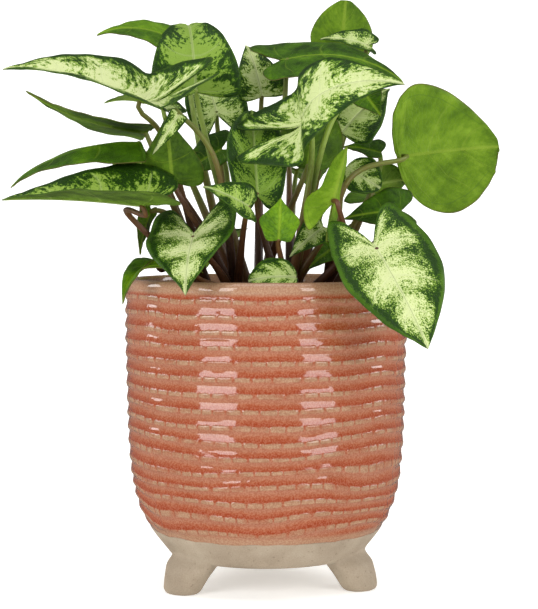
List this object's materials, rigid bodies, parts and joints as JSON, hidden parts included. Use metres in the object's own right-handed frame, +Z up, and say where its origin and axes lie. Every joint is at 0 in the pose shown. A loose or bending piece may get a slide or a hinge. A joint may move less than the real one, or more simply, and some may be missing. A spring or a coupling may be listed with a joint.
{
  "type": "potted syngonium",
  "caption": "Arrowhead vine with variegated and plain leaves, standing in its grow pot inside a round glazed stoneware pot on three small feet.",
  "frame": {"origin": "on the floor, under the middle of the pot", "axes": "+Z up, +X to the viewer's right in the picture's view, +Y away from the viewer"},
  "size_m": [0.2404, 0.1861, 0.295],
  "materials": {
    "glazed_stoneware": "clear glossy glaze over salmon-pink stoneware, bare beige clay on the base and feet",
    "grow_pot_plastic": "thin black nursery-pot plastic",
    "potting_soil": "dark crumbly peat with bark bits",
    "leaf_stalk": "smooth green stalks, reddish brown towards the soil",
    "leaf_variegated": "soft satin, pale cream-green along the veins with dark green margins and speckles",
    "leaf_plain": "soft satin, plain green with paler veins and a lighter underside"
  },
  "bodies": {
    "root": {"pot": "glazed_stoneware", "grow_pot": "grow_pot_plastic", "soil": "potting_soil", "shoot_1": "leaf_stalk", "shoot_2": "leaf_stalk", "shoot_3": "leaf_stalk", "shoot_4": "leaf_stalk", "shoot_5": "leaf_stalk", "shoot_6": "leaf_stalk", "shoot_7": "leaf_stalk", "leaf_01": "leaf_variegated", "leaf_02": "leaf_variegated", "leaf_03": "leaf_plain", "leaf_04": "leaf_plain", "leaf_05": "leaf_plain", "leaf_06": "leaf_variegated", "leaf_07": "leaf_variegated", "leaf_08": "leaf_plain", "leaf_09": "leaf_plain", "leaf_10": "leaf_plain", "leaf_11": "leaf_plain", "leaf_12": "leaf_variegated", "leaf_13": "leaf_variegated", "leaf_14": "leaf_plain", "leaf_15": "leaf_variegated", "leaf_16": "leaf_plain", "leaf_17": "leaf_variegated", "leaf_18": "leaf_plain", "leaf_19": "leaf_plain", "leaf_20": "leaf_variegated", "leaf_21": "leaf_plain", "leaf_22": "leaf_variegated", "leaf_23": "leaf_plain", "leaf_24": "leaf_variegated", "leaf_25": "leaf_plain", "leaf_26": "leaf_plain", "leaf_27": "leaf_variegated", "leaf_28": "leaf_variegated", "leaf_29": "leaf_plain", "leaf_30": "leaf_variegated", "leaf_31": "leaf_plain", "leaf_32": "leaf_variegated", "leaf_33": "leaf_plain", "leaf_41": "leaf_variegated", "leaf_34": "leaf_variegated", "leaf_35": "leaf_variegated", "leaf_36": "leaf_plain", "leaf_37": "leaf_variegated", "leaf_38": "leaf_variegated", "leaf_39": "leaf_variegated", "leaf_40": "leaf_plain"}
  },
  "joints": []
}
